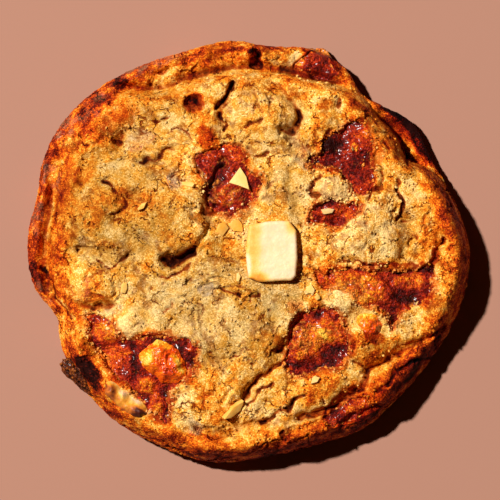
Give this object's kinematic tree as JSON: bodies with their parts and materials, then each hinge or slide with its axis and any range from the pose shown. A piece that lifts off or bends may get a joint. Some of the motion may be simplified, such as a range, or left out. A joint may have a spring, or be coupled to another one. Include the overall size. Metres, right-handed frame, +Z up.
{
  "type": "toffee cookie",
  "caption": "Thick round bakery cookie with a craggy two-step edge, pools of set toffee in its crown and a slab of white chocolate pressed into the middle.",
  "frame": {"origin": "middle of the flat underside", "axes": "+Z up through the crown, +Y towards the side where the lower skirt shows as a ledge, +X to its right when seen from above with +Y at the top"},
  "size_m": [0.1006, 0.096, 0.02],
  "materials": {
    "crust": "matte baked crust, golden in the middle, orange and red-brown at the rim, with fine pores, cracks and crumbs",
    "toffee": "glossy dark red-brown set toffee with a fine bubbled surface",
    "amber_toffee": "glossy amber toffee, yellow at its edges and red in its middle",
    "burnt_toffee": "glossy, nearly black burnt toffee with bubbles",
    "white_chocolate": "satin cream white chocolate, toasted yellow at its edges"
  },
  "bodies": {
    "root": {"dough": "crust", "toffee_northwest": "toffee", "toffee_northeast": "toffee", "toffee_east": "toffee", "toffee_southeast": "toffee", "toffee_southwest": "toffee", "toffee_middle": "toffee", "toffee_south": "toffee", "toffee_north": "toffee", "toffee_nugget": "amber_toffee", "toffee_nub": "amber_toffee", "burnt_toffee_rim": "burnt_toffee", "white_chocolate_rim": "white_chocolate", "white_chocolate_slab": "white_chocolate"}
  },
  "joints": []
}
